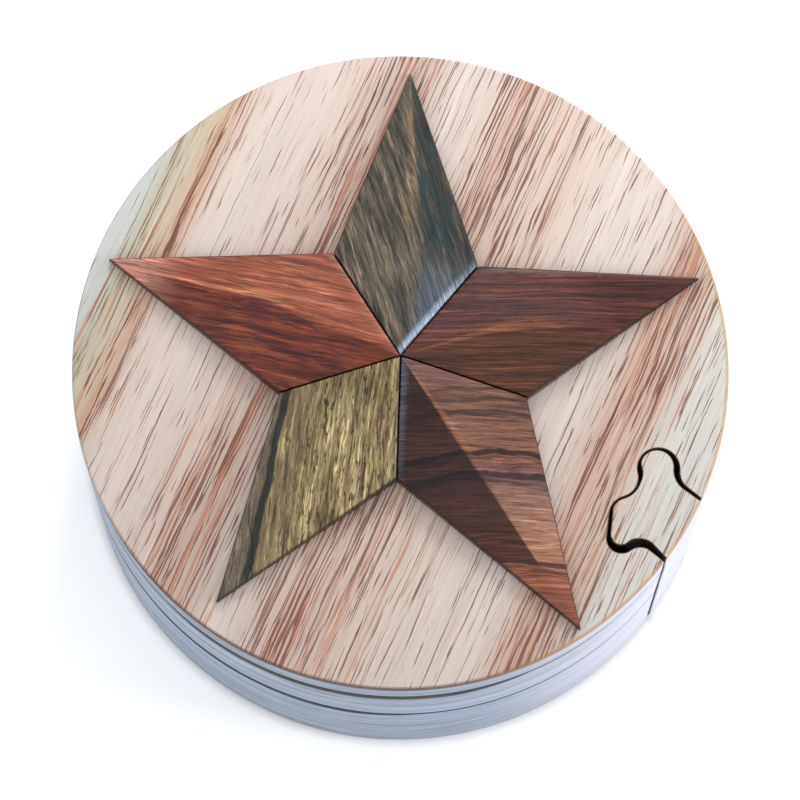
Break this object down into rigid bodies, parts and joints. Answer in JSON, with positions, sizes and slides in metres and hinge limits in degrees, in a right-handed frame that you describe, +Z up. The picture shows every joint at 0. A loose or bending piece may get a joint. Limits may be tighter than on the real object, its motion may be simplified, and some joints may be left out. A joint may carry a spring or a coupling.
{
  "type": "round wooden puzzle box",
  "caption": "Round wooden puzzle box in three swinging layers with a faceted star on the lid, locked by a jigsaw-shaped key that slides up and out; two felt-lined compartments.",
  "frame": {"origin": "centre of the round underside, on the surface that the box stands on", "axes": "+Z up through the lid; +Y towards the tip of the star's top arm; +X to the right seen from above with that arm pointing away; the key is in the rim 29 degrees clockwise from +X"},
  "size_m": [0.114, 0.114, 0.0575],
  "materials": {
    "lid_wood": "satin lacquer over pale, straight-grained wood with red-brown streaks",
    "side_wood": "satin lacquer over pale wood with fine level grain lines",
    "key_wood": "satin lacquer over pale grey-green sapwood",
    "grey_brown_wood": "satin lacquer over grey-brown wood with dark streaks",
    "dark_red_wood": "satin lacquer over dark red-brown wood",
    "purple_brown_wood": "satin lacquer over purple-brown wood with dark bands",
    "olive_wood": "satin lacquer over olive-brown wood with black streaks",
    "orange_red_wood": "satin lacquer over orange-red wood",
    "dowel_wood": "bare turned birch",
    "felt": "dark blue short-pile felt",
    "steel": "bright zinc-plated steel"
  },
  "bodies": {
    "base": {"base_floor": "side_wood", "base_ring": "side_wood", "base_floor_lining": "felt", "base_wall_lining": "felt", "pivot_plug": "dowel_wood"},
    "tray": {"tray_floor": "side_wood", "tray_ring": "side_wood", "tray_floor_lining": "felt", "tray_wall_lining": "felt"},
    "lid": {"lid_board": "lid_wood", "star_arm_top": "grey_brown_wood", "star_arm_right": "dark_red_wood", "star_arm_lower_right": "purple_brown_wood", "star_arm_lower_left": "olive_wood", "star_arm_left": "orange_red_wood", "pivot_dowel": "dowel_wood", "pivot_washer": "steel", "pivot_screw": "steel"},
    "key_base": {"key_base_floor_layer": "key_wood", "key_base_layer": "key_wood"},
    "key_tray": {"key_tray_floor_layer": "key_wood", "key_tray_layer": "key_wood"},
    "key_lid": {"key_lid_layer": "key_wood"}
  },
  "joints": [
    {"name": "lid_swing", "type": "hinge", "parent": "base", "child": "lid", "pos_m": [-0.04023, 0.0223, 0.04], "axis": [0, 0, 1], "range_deg": [-180, 180]},
    {"name": "tray_swing", "type": "hinge", "parent": "base", "child": "tray", "pos_m": [-0.04023, 0.0223, 0.035], "axis": [0, 0, 1], "range_deg": [-180, 180]},
    {"name": "key_slide", "type": "slide", "parent": "base", "child": "key_base", "axis": [0, 0, 1], "range_m": [0, 0.06]},
    {"name": "key_tray_slide", "type": "slide", "parent": "tray", "child": "key_tray", "axis": [0, 0, 1], "range_m": [0, 0.06]},
    {"name": "key_lid_slide", "type": "slide", "parent": "lid", "child": "key_lid", "axis": [0, 0, 1], "range_m": [0, 0.06]}
  ],
  "couplings": [
    {"joint": "key_tray_slide", "follows": "key_slide", "ratio": 1},
    {"joint": "key_lid_slide", "follows": "key_slide", "ratio": 1}
  ]
}
